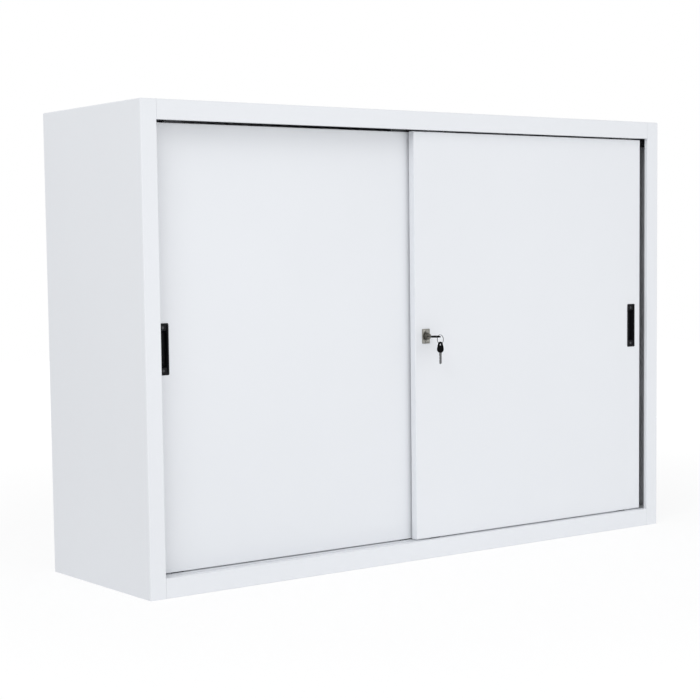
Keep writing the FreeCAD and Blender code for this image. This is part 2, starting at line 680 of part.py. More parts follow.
def key_blade():
    """The flat blade with its cuts and a groove along each face, held in the head."""
    half = BLADE_T / 2
    blade = box(-BLADE_L, BLADE_HELD, -BLADE_W / 2, BLADE_W / 2, -half, half)
    for k, cut in enumerate((1.1, 1.7, 0.8, 1.5, 1.2)):
        x = -BLADE_L + 2.5 + 2.4 * k
        blade = blade.cut(box(x, x + 1.5, BLADE_W / 2 - cut, BLADE_W, -3, 3))
    for s in (-1, 1):
        a, b = sorted((s * (half - GROOVE_IN_BLADE), s * (half + 1)))
        blade = blade.cut(box(-BLADE_L - 1, -1.5, *sorted((-s * 0.2, s * 1.0)), a, b))
    tip = Part.makeBox(4, 4, 6, V(-2, -2, -3))
    for s in (-1, 1):
        corner = tip.copy()
        corner.rotate(V(0, 0, 0), V(0, 0, 1), 45)
        corner.translate(V(-BLADE_L, s * BLADE_W / 2, 0))
        blade = blade.cut(corner)
    return blade


head_from = plug_face - SHANK_OUT
head = key_head()
blade = key_blade()
for shape in (head, blade):
    shape.rotate(V(0, 0, 0), V(0, 0, 1), -90)
    shape.translate(V(LOCK_X, YF + head_from, LOCK_Z))
put("key_head", head)
put("key_blade", blade)

eye_y = YF + head_from - HEAD_L + EYE_IN
ring_y = eye_y - (RING_R ** 2 - RING_DROP ** 2) ** 0.5
ring_z = LOCK_Z - RING_DROP
ring = Part.makeTorus(RING_R, WIRE_R, V(LOCK_X, ring_y, ring_z), V(1, 0, 0))
put("key_ring", ring)

hang = EYE_R - WIRE_R - LINK_CLEAR
spare_z = ring_z - RING_R - hang
head = key_head()
blade = key_blade()
for shape in (head, blade):
    shape.translate(V(-HEAD_L + EYE_IN, 0, 0))
    shape.rotate(V(0, 0, 0), V(0, 1, 0), -90)
    shape.rotate(V(0, 0, 0), V(0, 0, 1), 90)
    shape.translate(V(LOCK_X, ring_y, spare_z))
put("spare_key_head", head)
put("spare_key_blade", blade)

door("front", FRONT_A, FRONT_DEPTH, front_pull_x, lock_holes)
door("rear", REAR_A, REAR_DEPTH, rear_pull_x, rear_holes)

# ---------------------------------------------------------------- screws of the carcass
screws = []
holes = {"top_panel": [], "left_side_panel": [], "right_side_panel": [], "bottom_panel": []}
screw_rows = (PART_FROM + SCREW_IN, (PART_FROM + D) / 2, D - SCREW_IN)
for s in (-1, 1):
    for d in screw_rows:
        x = s * (XR - STILE)
        y = YF + d
        z = H - SCREW_FLANGE / 2
        head = Part.makeCylinder(3.6, 2.2, V(x - s * T, y, z), V(-s, 0, 0))
        shank = Part.makeCylinder(2.0, 2 * T + 4, V(x - s * T, y, z), V(s, 0, 0))
        screws.append(join(head, shank))
        holes["top_panel"].append(shank)
        holes["left_side_panel" if s < 0 else "right_side_panel"].append(shank)
        x = s * (XR - 2 * T)
        z = BASE - SCREW_FLANGE / 2
        head = Part.makeCylinder(3.6, 2.2, V(x, y, z), V(-s, 0, 0))
        shank = Part.makeCylinder(2.0, 1.7, V(x, y, z), V(s, 0, 0))
        screws.append(join(head, shank))
        holes["bottom_panel"].append(shank)
        holes["left_side_panel" if s < 0 else "right_side_panel"].append(shank)
put("carcass_screws", *screws)

screws = []
holes["back_panel"] = []
for s in (-1, 1):
    for row in range(4):
        z = BASE + (RAIL_Z - BASE) * (row + 0.3) / 3.6
        x = s * (XR - REAR_FLANGE / 2)
        shank = rod(x, D - 2 * T - 4, D, z, 1.8)
        head = rod(x, D, D + 1.2, z, 3.4)
        screws.append(join(head, shank))
        holes["left_side_panel" if s < 0 else "right_side_panel"].append(shank)
        holes["back_panel"].append(shank)
put("back_panel_screws", *screws)
for name, cuts in holes.items():
    shape = PARTS[name]
    for cut in cuts:
        shape = shape.cut(cut)
    put(name, shape)

os.makedirs("parts", exist_ok=True)
for name, shape in PARTS.items():
    if not shape.isValid():
        raise ValueError(name + " is not a valid shape")
    shape.exportStep("parts/" + name + ".step")
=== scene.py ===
"""Dresses the sliding door cabinet: coats, pulls, lock, keys, buffers and screws, and the studio."""
import json
import math

import bmesh
import bpy
from bpy.props import FloatProperty, FloatVectorProperty, PointerProperty
from mathutils import Matrix, Vector


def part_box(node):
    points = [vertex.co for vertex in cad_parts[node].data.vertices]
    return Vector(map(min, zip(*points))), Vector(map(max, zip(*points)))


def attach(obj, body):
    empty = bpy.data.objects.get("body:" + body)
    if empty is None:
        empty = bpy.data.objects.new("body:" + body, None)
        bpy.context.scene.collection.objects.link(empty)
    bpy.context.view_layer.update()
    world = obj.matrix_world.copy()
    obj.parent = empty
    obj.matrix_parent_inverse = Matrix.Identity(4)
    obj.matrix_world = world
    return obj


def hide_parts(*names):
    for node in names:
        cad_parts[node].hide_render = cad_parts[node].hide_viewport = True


bl_info = {
    "name": "Sliding Door Cabinet",
    "version": (1, 0, 0),
    "blender": (4, 5, 0),
    "location": "3D View > Sidebar > Cabinet",
    "description": "Finishes and fine pieces for a sheet-steel cabinet with two hanging doors",
    "category": "Object",
}

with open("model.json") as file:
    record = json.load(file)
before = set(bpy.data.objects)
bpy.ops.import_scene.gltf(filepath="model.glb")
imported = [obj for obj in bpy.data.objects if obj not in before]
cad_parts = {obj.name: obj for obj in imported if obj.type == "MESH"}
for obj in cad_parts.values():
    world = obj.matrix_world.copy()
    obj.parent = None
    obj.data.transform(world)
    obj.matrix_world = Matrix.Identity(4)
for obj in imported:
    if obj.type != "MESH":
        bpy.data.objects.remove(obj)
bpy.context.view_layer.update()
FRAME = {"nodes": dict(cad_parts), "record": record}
MM = 0.001
OVER = 1 * MM  # how far a cutter starts outside a face
THROUGH = 80 * MM  # long enough to cut right through any piece
FACING = 0.9  # a normal or an edge with this much of an axis runs along it
SLOTS = {m["slot"]: m["base_color"] for m in FRAME["record"]["materials"]}
NODE_SLOT = {p["node"]: p["material_slot"] for p in FRAME["record"]["subparts"]}
BITTING = [deep * MM for deep in (1.3, 0.8, 1.6, 1.0, 1.4)]  # depths of a key's cuts
KEY_LAMP = {"place": (-4.3, -2.75, 4.6), "target": (0, 0, 0.4), "size": (2.6, 2.6)}
LOW_LAMP = {"place": (0.6, -3.4, 0.5), "target": (0, 0, 0.2), "size": (4.0, 0.8)}
CAMERA_PLACE = (-2.46898, -3.13176, 0.70672)
CAMERA_TURN = (85.2838, 0.8018, -35.9548)
CAMERA_SHIFT = (0.06422, 0.05687)
SENSOR = 36.0


# ------------------------------------------------------------------ shader maths
class Value:
    """A number that a finish works out over a surface. Maths on it adds Math nodes."""

    def __init__(self, tree, socket):
        self.tree = tree
        self.socket = socket

    def math(self, operation, *inputs):
        node = self.tree.nodes.new("ShaderNodeMath")
        node.operation = operation
        for k, given in enumerate(inputs):
            if isinstance(given, Value):
                self.tree.links.new(given.socket, node.inputs[k])
            else:
                node.inputs[k].default_value = given
        return Value(self.tree, node.outputs[0])

    def __add__(self, other):
        return self.math("ADD", self, other)

    __radd__ = __add__

    def __mul__(self, other):
        return self.math("MULTIPLY", self, other)

    __rmul__ = __mul__

    def between(self, low, high):
        """0 below low, 1 above high, and a straight ramp from one to the other."""
        node = self.tree.nodes.new("ShaderNodeMapRange")
        node.clamp = True
        self.tree.links.new(self.socket, node.inputs["Value"])
        node.inputs["From Min"].default_value = low
        node.inputs["From Max"].default_value = high
        return Value(self.tree, node.outputs["Result"])


class Finish:
    """One material with its Principled shader. The sockets that never change are set by name."""

    def __init__(self, name, **fixed):
        self.material = bpy.data.materials.new(name)
        self.material.use_nodes = True
        self.tree = self.material.node_tree
        self.shader = self.tree.nodes["Principled BSDF"]
        for socket, setting in fixed.items():
            self.shader.inputs[socket.replace("_", " ")].default_value = setting
        self.place = self.node("ShaderNodeTexCoord").outputs["Object"]

    def node(self, kind, settings=None, **sockets):
        node = self.tree.nodes.new(kind)
        for key, setting in (settings or {}).items():
            setattr(node, key, setting)
        for key, given in sockets.items():
            socket = node.inputs[key.replace("_", " ")]
            if isinstance(given, Value):
                given = given.socket
            if isinstance(given, bpy.types.NodeSocket):
                self.tree.links.new(given, socket)
            else:
                socket.default_value = given
        return node

    def stretched(self, x, y, z):
        """Object coordinates with each axis scaled."""
        node = self.node("ShaderNodeMapping", Vector=self.place, Scale=(x, y, z))
        return node.outputs["Vector"]

    def noise(self, scale, detail=2.0, place=None):
        """Cloudy noise from 0 to 1, with so many waves to a metre."""
        node = self.node("ShaderNodeTexNoise", Vector=place or self.place, Scale=scale, Detail=detail)
        return Value(self.tree, node.outputs["Fac"])

    def cells(self, scale):
        """A random number for each crystal."""
        node = self.node("ShaderNodeTexVoronoi", Vector=self.place, Scale=scale)
        split = self.node("ShaderNodeSeparateColor", Color=node.outputs["Color"])
        return Value(self.tree, split.outputs["Red"])

    def between(self, mask, first, second):
        """The first colour where the mask is 0 and the second where it is 1."""
        node = self.node("ShaderNodeMix", {"data_type": "RGBA"})
        self.tree.links.new(mask.socket, node.inputs["Factor"])
        colours = [socket for socket in node.inputs if socket.type == "RGBA"]
        for socket, colour in zip(colours, (first, second)):
            socket.default_value = colour
        return next(socket for socket in node.outputs if socket.type == "RGBA")

    def put(self, socket, given):
        """Links a number or a colour to a socket of the shader."""
        self.tree.links.new(getattr(given, "socket", given), self.shader.inputs[socket])

    def bump(self, height):
        """Raises the surface by a height in metres."""
        node = self.node("ShaderNodeBump", Strength=1.0, Distance=1.0, Height=height)
        self.tree.links.new(node.outputs["Normal"], self.shader.inputs["Normal"])


def shade(colour, factor):
    """The colour made lighter or darker, with full alpha."""
    return [min(1.0, c * factor) for c in list(colour)[:3]] + [1.0]


def powder_coat(name, colour, coat, wave):
    """Baked powder over sheet that isn't quite flat, with orange peel and a slight cloudiness."""
    f = Finish(name, Specular_IOR_Level=0.42)
    cloud = f.noise(1.7, 3.0)
    speck = f.noise(900.0, 1.0)
    tone = (cloud * 0.75 + speck * 0.25).between(0.3, 0.7)
    f.put("Base Color", f.between(tone, shade(colour, 0.985), shade(colour, 1.012)))
    f.put("Roughness", f.noise(26.0, 3.0) * 0.1 + (coat.roughness - 0.05))
    peel = f.noise(420.0, 2.0) * 0.6 + f.noise(1500.0, 1.0) * 0.4
    f.bump(peel * (coat.peel * MM) + f.noise(3.2, 1.0) * (wave * MM))
    return f.material


def bright_zinc(name, colour):
    """Zinc plate on small parts: an even dull shine with a cloudy film."""
    f = Finish(name, Metallic=1.0)
    film = f.noise(90.0, 4.0)
    drawn = f.noise(500.0, 3.0, f.stretched(1.0, 0.2, 1.0))
    tone = (film * 0.7 + drawn * 0.3).between(0.25, 0.75)
    f.put("Base Color", f.between(tone, shade(colour, 0.8), shade(colour, 1.08)))
    f.put("Roughness", film * 0.22 + drawn * 0.08 + 0.22)
    f.bump(drawn * (0.01 * MM) + f.noise(900.0) * (0.01 * MM))
    return f.material


def galvanised_sheet(name, colour):
    """Hot-dipped strip: a small crystal pattern under a grey bloom."""
    f = Finish(name, Metallic=1.0)
    crystal = f.cells(210.0)
    bloom = f.noise(30.0, 4.0)
    tone = (crystal * 0.45 + bloom * 0.55).between(0.2, 0.8)
    f.put("Base Color", f.between(tone, shade(colour, 0.74), shade(colour, 1.04)))
    f.put("Roughness", bloom * 0.24 + crystal * 0.08 + 0.28)
    f.bump(crystal * (0.004 * MM) + f.noise(700.0) * (0.015 * MM))
    return f.material


def black_passivate_and_painted_shade(name, colour):
    """Black zinc on pressed steel, rubbed to a faint brown sheen. On the hangers its black is partly
    painted shade, darkening the gap above the doors.
    """
    f = Finish(name, Metallic=0.3, Specular_IOR_Level=0.2)
    rub = f.noise(70.0, 4.0).between(0.35, 0.75)
    f.put("Base Color", f.between(rub, shade(colour, 0.8), shade(colour, 1.6)))
    f.put("Roughness", rub * 0.2 + 0.4)
    f.bump(f.noise(800.0) * (0.015 * MM))
    return f.material


def satin_metal(name, colour, across, rough):
    """Nickel plate rubbed in one direction, with duller patches."""
    f = Finish(name, Metallic=1.0)
    lines = f.noise(700.0, 3.0, f.stretched(*across))
    patch = f.noise(170.0, 3.0)
    tone = (lines * 0.55 + patch * 0.45).between(0.3, 0.7)
    f.put("Base Color", f.between(tone, shade(colour, 0.84), shade(colour, 1.08)))
    f.put("Roughness", lines * 0.14 + patch * 0.1 + (rough - 0.12))
    f.bump(lines * (0.015 * MM))
    return f.material


def moulded_plastic(name, colour, rough, grain, gloss):
    """Satin injection moulding with a fine spark-eroded grain."""
    f = Finish(name, Specular_IOR_Level=gloss)
    leather = f.noise(grain)
    cloud = f.noise(120.0, 3.0)
    f.put("Base Color", f.between(cloud.between(0.3, 0.7), shade(colour, 0.85), shade(colour, 1.25)))
    f.put("Roughness", cloud * 0.12 + leather * 0.08 + (rough - 0.1))
    f.bump(leather * (0.02 * MM))
    return f.material


def dusty_rubber(name, colour):
    """Dull rubber with a little dust in its pores."""
    f = Finish(name, Specular_IOR_Level=0.15)
    pores = f.noise(620.0, 3.0)
    dust = f.noise(90.0, 4.0).between(0.52, 0.75)
    f.put("Base Color", f.between(dust, shade(colour, 1.0), shade(colour, 1.7)))
    f.put("Roughness", pores * 0.12 + 0.72)
    f.bump(pores * (0.04 * MM))
    return f.material


MADE = {}
# The pieces whose finish isn't the one of their slot.
SPECIAL = {
    "top_track": "galvanised",
    "floor_cross_members": "galvanised",
    "lock_barrel": "barrel_nickel_painted_dark_reflection",
    "lock_plug": "barrel_nickel_painted_dark_reflection",
    "key_head": "key_moulding",
    "spare_key_head": "key_moulding",
}


def finish_of(kind):
    """The finish of one kind, made once. Most kinds are material slots."""
    if kind not in MADE:
        coat = bpy.context.scene.cabinet_coat
        metal = bpy.context.scene.cabinet_metal
        along_y, along_z = (1.0, 0.12, 1.0), (1.0, 1.0, 0.12)
        blade_grain, even = (1.0, 0.15, 1.0), (1.0, 1.0, 1.0)
        nylon = SLOTS["white_nylon"]
        makers = {
            "carcass_white": lambda: powder_coat("carcass_powder", coat.carcass, coat, coat.ripple),
            "door_white": lambda: powder_coat("door_powder", coat.doors, coat, coat.wave),
            "zinc_plated": lambda: bright_zinc("bright_zinc", metal.zinc),
            "galvanised": lambda: galvanised_sheet("galvanised_sheet", metal.zinc),
            "black_zinc": lambda: black_passivate_and_painted_shade("black_zinc", metal.black_zinc),
            "nickel": lambda: satin_metal("satin_nickel_painted_dark_reflection", metal.nickel, along_z, rough=0.36),
            # The dark colour of the barrel and plug is painted dark reflection, not the nickel's own
            # colour.
            "barrel_nickel_painted_dark_reflection": lambda: satin_metal("barrel_nickel_painted_dark_reflection", metal.barrel, along_y, rough=0.3),
            "key_steel": lambda: satin_metal("nickelled_key", metal.key, blade_grain, rough=0.3),
            "ring_steel": lambda: satin_metal("ring_steel", metal.ring, even, rough=0.3),
            "black_plastic": lambda: moulded_plastic(
                "black_moulding", metal.plastic, rough=0.4, grain=900.0, gloss=0.1),
            "key_moulding": lambda: moulded_plastic(
                "key_moulding", metal.heads, rough=0.45, grain=900.0, gloss=0.03),
            "white_nylon": lambda: moulded_plastic(
                "natural_nylon", nylon, rough=0.5, grain=1400.0, gloss=0.5),
            "black_rubber": lambda: dusty_rubber("buffer_rubber", metal.rubber),
        }
        MADE[kind] = makers[kind]()
    return MADE[kind]


# ------------------------------------------------------------------ bench tools
def clear():
    """Leaves edit mode and selects nothing."""
    if bpy.context.object and bpy.context.object.mode != "OBJECT":
        bpy.ops.object.mode_set(mode="OBJECT")
    bpy.ops.object.select_all(action="DESELECT")


def settle(name):
    """Names the new primitive and bakes its place and size into its mesh."""
    o = bpy.context.object
    o.name = name
    o.data.name = name
    bpy.ops.object.transform_apply(location=True, rotation=True, scale=True)
    return o


def block(name, lo, hi):
    """A box between two corners."""
    clear()
    lo, hi = Vector(lo), Vector(hi)
    bpy.ops.mesh.primitive_cube_add(size=1.0, location=(lo + hi) / 2, scale=hi - lo)
    return settle(name)


def turned(name, centre, radius, depth, axis="Y", sides=48):
    """A disc or bar round an axis, centred on a point."""
    clear()
    spin = {"X": (0.0, math.pi / 2, 0.0), "Y": (math.pi / 2, 0.0, 0.0), "Z": (0.0, 0.0, 0.0)}[axis]
    bpy.ops.mesh.primitive_cylinder_add(
        vertices=sides, radius=radius, depth=depth, location=centre, rotation=spin
    )
    return settle(name)


def edit(o):
    """Opens a piece in edit mode with nothing selected."""
    clear()
    o.select_set(True)
    bpy.context.view_layer.objects.active = o
    bpy.ops.object.mode_set(mode="EDIT")
    bpy.ops.mesh.select_all(action="DESELECT")


def pick_faces(o, test):
    """Selects the faces whose middle and normal pass the test."""
    bpy.ops.mesh.select_mode(type="FACE")
    bpy.ops.mesh.select_all(action="DESELECT")
    mesh = bmesh.from_edit_mesh(o.data)
    for face in mesh.faces:
        face.select_set(bool(test(face.calc_center_median(), face.normal)))
    bmesh.update_edit_mesh(o.data)


def pick_edges(o, test):
    """Selects the edges whose middle and direction pass the test."""
    bpy.ops.mesh.select_mode(type="EDGE")
    bpy.ops.mesh.select_all(action="DESELECT")
    mesh = bmesh.from_edit_mesh(o.data)
    for edge in mesh.edges:
        a, b = (v.co for v in edge.verts)
        edge.select_set(bool(test((a + b) / 2, (b - a).normalized())))
    bmesh.update_edit_mesh(o.data)


def cut_across(point, normal):
    """Puts a line of edges round the whole piece where a plane meets it."""
    bpy.ops.mesh.select_all(action="SELECT")
    bpy.ops.mesh.bisect(plane_co=point, plane_no=normal)


def shift(x=0.0, y=0.0):
    """Moves what is selected."""
    bpy.ops.transform.translate(value=(x, y, 0.0))


def inset(width, depth=0.0):
    """Insets the picked faces, and sinks them where the depth is negative."""
    bpy.ops.mesh.inset(thickness=width, depth=depth, use_even_offset=True)


def done():
    """Closes edit mode."""
    bpy.ops.object.mode_set(mode="OBJECT")


def apply(o, kind, **settings):
    """Adds a modifier and applies it."""
    clear()
    o.select_set(True)
    bpy.context.view_layer.objects.active = o
    modifier = o.modifiers.new(kind.title(), kind)
    for key, setting in settings.items():
        setattr(modifier, key, setting)
    bpy.ops.object.modifier_apply(modifier=modifier.name)
    return o


def bore(o, cutter):
    """Takes the cutter's shape out of the piece."""
    apply(o, "BOOLEAN", operation="DIFFERENCE", solver="EXACT", object=cutter)
    bpy.data.objects.remove(cutter)


def fuse(o, other):
    """Makes one skin of two pieces."""
    apply(o, "BOOLEAN", operation="UNION", solver="EXACT", object=other)
    bpy.data.objects.remove(other)


def rounded(name, lo, hi, radius):
    """A box whose edges along Y are rounded."""
    o = block(name, lo, hi)
    edit(o)
    pick_edges(o, lambda m, d: abs(d.y) > FACING)
    bpy.ops.mesh.bevel(offset=radius, segments=6, affect="EDGES")
    done()
    return o


def soften(o, width, segments=3, angle=30.0):
    """Rounds every edge that turns by more than an angle in degrees."""
    return apply(
        o, "BEVEL", width=width, segments=segments, limit_method="ANGLE", angle_limit=math.radians(angle)
    )


def merge(name, pieces):
    """Joins pieces of one material into one object."""
    clear()
    for o in pieces:
        o.select_set(True)
    bpy.context.view_layer.objects.active = pieces[0]
    if len(pieces) > 1:
        bpy.ops.object.join()
    o = bpy.context.object
    o.name = name
    o.data.name = name
    return o


def copy_of(o, matrix):
    """Another piece of the same shape, with its own mesh, placed by a matrix."""
    other = o.copy()
    other.data = o.data.copy()
    other.data.transform(matrix)
    bpy.context.scene.collection.objects.link(other)
    return other


def finish(o, slot, body, *nodes, angle=35.0, kind=None):
    """Shades and coats a finished piece, and mounts it in place of nodes of the frame."""
    clear()
    o.select_set(True)
    bpy.context.view_layer.objects.active = o
    bpy.ops.object.shade_smooth_by_angle(angle=math.radians(angle))
    o.data.materials.clear()
    o.data.materials.append(finish_of(kind or slot))
    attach(o, body)
    if nodes:
        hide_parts(*nodes)


# ------------------------------------------------------------------ sizes and colours
class CoatSettings(bpy.types.PropertyGroup):
    carcass: FloatVectorProperty(
        name="Carcass", description="Powder colour of the carcass", subtype="COLOR", size=3,
        min=0.0, max=1.0, default=SLOTS["carcass_white"])
    doors: FloatVectorProperty(
        name="Doors", description="Powder colour of the doors", subtype="COLOR", size=3,
        min=0.0, max=1.0, default=SLOTS["door_white"])
    roughness: FloatProperty(
        name="Roughness", description="Mean roughness of the powder", subtype="FACTOR",
        min=0.05, max=1.0, default=0.46)
    peel: FloatProperty(
        name="Orange peel", description="Height of the powder's ripples, in millimetres",
        min=0.0, max=0.5, default=0.018)
    wave: FloatProperty(
        name="Door wave", description="How far the door sheets stray from flat, in millimetres",
        min=0.0, max=2.0, default=0.3)
    ripple: FloatProperty(
        name="Carcass wave", description="How far the carcass sheets stray from flat, in millimetres",
        min=0.0, max=2.0, default=0.15)


class MetalSettings(bpy.types.PropertyGroup):
    zinc: FloatVectorProperty(
        name="Zinc", description="Colour of the zinc plate", subtype="COLOR", size=3,
        min=0.0, max=1.0, default=SLOTS["zinc_plated"])
    # Black of the hangers and the pull studs; on the hangers it is partly painted shade, set to the
    # darkness of the gap above the doors.
    black_zinc: FloatVectorProperty(
        name="Black zinc", description="Colour of the hangers", subtype="COLOR", size=3,
        min=0.0, max=1.0, default=(0.06, 0.061, 0.065))
    # The tint is the nickel's own, but its depth is lowered well below bright nickel: painted dark
    # reflection of dim surroundings on the lock's plate and other nickel pieces.
    nickel: FloatVectorProperty(
        name="Nickel", description="Colour of the lock's plate", subtype="COLOR", size=3,
        min=0.0, max=1.0, default=(0.26, 0.256, 0.235))
    # Far darker than nickel: painted dark reflection, standing in for dim surroundings mirrored in the
    # barrel and its plug.
    barrel: FloatVectorProperty(
        name="Barrel", description="Colour of the lock's barrel", subtype="COLOR", size=3,
        min=0.0, max=1.0, default=(0.12, 0.115, 0.1))
    key: FloatVectorProperty(
        name="Keys", description="Colour of the blades", subtype="COLOR", size=3,
        min=0.0, max=1.0, default=(0.16, 0.163, 0.167))
    ring: FloatVectorProperty(
        name="Ring", description="Colour of the split ring", subtype="COLOR", size=3,
        min=0.0, max=1.0, default=(0.06, 0.06, 0.062))
    plastic: FloatVectorProperty(
        name="Plastic", description="Colour of the pulls", subtype="COLOR", size=3,
        min=0.0, max=1.0, default=SLOTS["black_plastic"])
    heads: FloatVectorProperty(
        name="Key heads", description="Colour of the key heads", subtype="COLOR", size=3,
        min=0.0, max=1.0, default=(0.003, 0.003, 0.0035))
    rubber: FloatVectorProperty(
        name="Rubber", description="Colour of the buffers", subtype="COLOR", size=3,
        min=0.0, max=1.0, default=SLOTS["black_rubber"])


class PullSettings(bpy.types.PropertyGroup):
    opening: FloatProperty(
        name="Opening", description="Width of the opening", unit="LENGTH", default=19.0 * MM)
    reach: FloatProperty(
        name="Reach", description="Half the opening's height", unit="LENGTH", default=50.0 * MM)
    wall: FloatProperty(name="Wall", description="Thickness of the cup", unit="LENGTH", default=1.5 * MM)
    proud: FloatProperty(
        name="Proud", description="How far the rim stands off the door", unit="LENGTH", default=1.2 * MM)
    step: FloatProperty(
        name="Step", description="Depth of the ledge at each end", unit="LENGTH", default=1.5 * MM)
    pocket: FloatProperty(
        name="Pocket", description="Depth of the finger pocket", unit="LENGTH", default=11.5 * MM)
    ledge: FloatProperty(
        name="Ledge", description="Half the pocket's height", unit="LENGTH", default=39.0 * MM)
    stud: FloatProperty(
        name="Stud", description="Height of the studs from the middle", unit="LENGTH", default=44.5 * MM)


class KeySettings(bpy.types.PropertyGroup):
    nose: FloatProperty(
        name="Nose", description="Length of the barrel's tapered end", unit="LENGTH", default=5.5 * MM)
    lip: FloatProperty(
        name="Lip", description="Radius of the barrel's front edge", unit="LENGTH", default=6.0 * MM)
    bore: FloatProperty(
        name="Bore", description="Radius of the barrel's hole", unit="LENGTH", default=5.55 * MM)
    wire: FloatProperty(
        name="Wire", description="Radius of the ring's wire", unit="LENGTH", default=0.42 * MM)
    point: FloatProperty(
        name="Point", description="Length of a blade's pointed end", unit="LENGTH", default=2.4 * MM)
    first: FloatProperty(
        name="First cut", description="From a blade's end to its first cut",
        unit="LENGTH", default=4.4 * MM)
    pitch: FloatProperty(
        name="Pitch", description="From one cut to the next", unit="LENGTH", default=3.3 * MM)
    flat: FloatProperty(
        name="Flat", description="Half the flat bottom of a cut", unit="LENGTH", default=0.45 * MM)
    groove: FloatProperty(
        name="Groove", description="Length of the groove in a blade's face",
        unit="LENGTH", default=24.0 * MM)


class StageSettings(bpy.types.PropertyGroup):
    floor: FloatProperty(
        name="Floor", description="Side of the floor", unit="LENGTH", default=14.0)
    sky: FloatProperty(
        name="Sky", description="Strength of the even light from all round", min=0.0, default=0.675)
    key: FloatProperty(
        name="Key", description="Power of the large lamp", unit="POWER", min=0.0, default=80.0)
    fill: FloatProperty(
        name="Fill", description="Power of the low front lamp", unit="POWER", min=0.0, default=18.0)
    lens: FloatProperty(
        name="Lens", description="Focal length on a 36 mm sensor", unit="CAMERA", default=86.361)


# ------------------------------------------------------------------ pieces
class CABINET_OT_coats(bpy.types.Operator):
    """Coats every sheet-metal and small piece that comes from the frame"""

    bl_idname = "cabinet.coats"
    bl_label = "Coats"

    def execute(self, context):
        for name, o in FRAME["nodes"].items():
            o.data.materials.clear()
            o.data.materials.append(finish_of(SPECIAL.get(name, NODE_SLOT[name])))
        return {"FINISHED"}


class CABINET_OT_pulls(bpy.types.Operator):
    """Moulds the flush pull of each door: rim, end ledges with studs, and a finger pocket"""

    bl_idname = "cabinet.pulls"
    bl_label = "Flush pulls"

    def cup(self, s, name, lo, hi):
        """The rim and the cup behind it, opened for the fingers."""
        rim_corner, cup_corner, lap, taper, edge = 2.5 * MM, 1.5 * MM, 0.3 * MM, 0.87, 0.45 * MM
        mid = (lo + hi) / 2
        face = lo.y + s.proud
        half = Vector((s.opening / 2 + s.wall, 0, s.reach + s.wall))
        o = rounded(name, lo, (hi.x, face, hi.z), rim_corner)
        near, far = mid - half, mid + half
        near.y, far.y = face - lap, hi.y
        fuse(o, rounded("cup", near, far, cup_corner))
        near.x, far.x = mid.x - s.opening / 2, mid.x + s.opening / 2
        near.y, far.y = lo.y - OVER, face + s.step
        near.z, far.z = mid.z - s.reach, mid.z + s.reach
        bore(o, rounded("cutter", near, far, cup_corner))
        near.y, far.y = face, face + s.pocket
        near.z, far.z = mid.z - s.ledge, mid.z + s.ledge
        cutter = block("cutter", near, far)
        edit(cutter)
        pick_faces(cutter, lambda m, n: n.y > FACING)
        bpy.ops.transform.resize(value=(1.0, 1.0, taper), center_override=mid)
        done()
        bore(o, cutter)
        return soften(o, edge)

    def stud(self, middle):
        """A round stud with a dimple in its face."""
        radius, thick, ring, dimple, edge = 3.0 * MM, 1.6 * MM, 1.6 * MM, 0.5 * MM, 0.25 * MM
        o = turned("stud", middle, radius, thick, sides=32)
        edit(o)
        pick_faces(o, lambda m, n: n.y < -FACING)
        inset(ring)
        shift(y=dimple)
        done()
        return soften(o, edge, 2)

    def snap(self, side, x, y, z):
        """A lug on the cup's side that holds it behind the sheet."""
        sunk, proud, deep, half, edge = 0.5 * MM, 1.0 * MM, 2.5 * MM, 5 * MM, 0.2 * MM
        a, b = sorted((x - side * sunk, x + side * proud))
        return soften(block("snap", (a, y, z - half), (b, y + deep, z + half)), edge, 2)

    def mould(self, s, door):
        """One door's pull with its two studs and four lugs."""
        lo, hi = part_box(door + "_door_pull")
        mid = (lo + hi) / 2
        face = lo.y + s.proud
        wide = s.opening / 2 + s.wall
        cup = self.cup(s, door + "_pull", lo, hi)
        sunk, behind, snap_z = 0.2 * MM, 1.0 * MM, 30 * MM
        studs, snaps = [], []
        for sign in (-1, 1):
            studs.append(self.stud((mid.x, face + s.step - sunk, mid.z + sign * s.stud)))
            for side in (-1, 1):
                snaps.append(self.snap(side, mid.x + side * wide, face + behind, mid.z + sign * snap_z))
        rivets = merge(door + "_pull_studs", studs)
        finish(rivets, "black_zinc", door + "_door", door + "_door_pull")
        pull = merge(door + "_pull", [cup] + snaps)
        finish(pull, "black_plastic", door + "_door", door + "_door_pull")

    def execute(self, context):
        for door in ("front", "rear"):
            self.mould(context.scene.cabinet_pull, door)
        return {"FINISHED"}


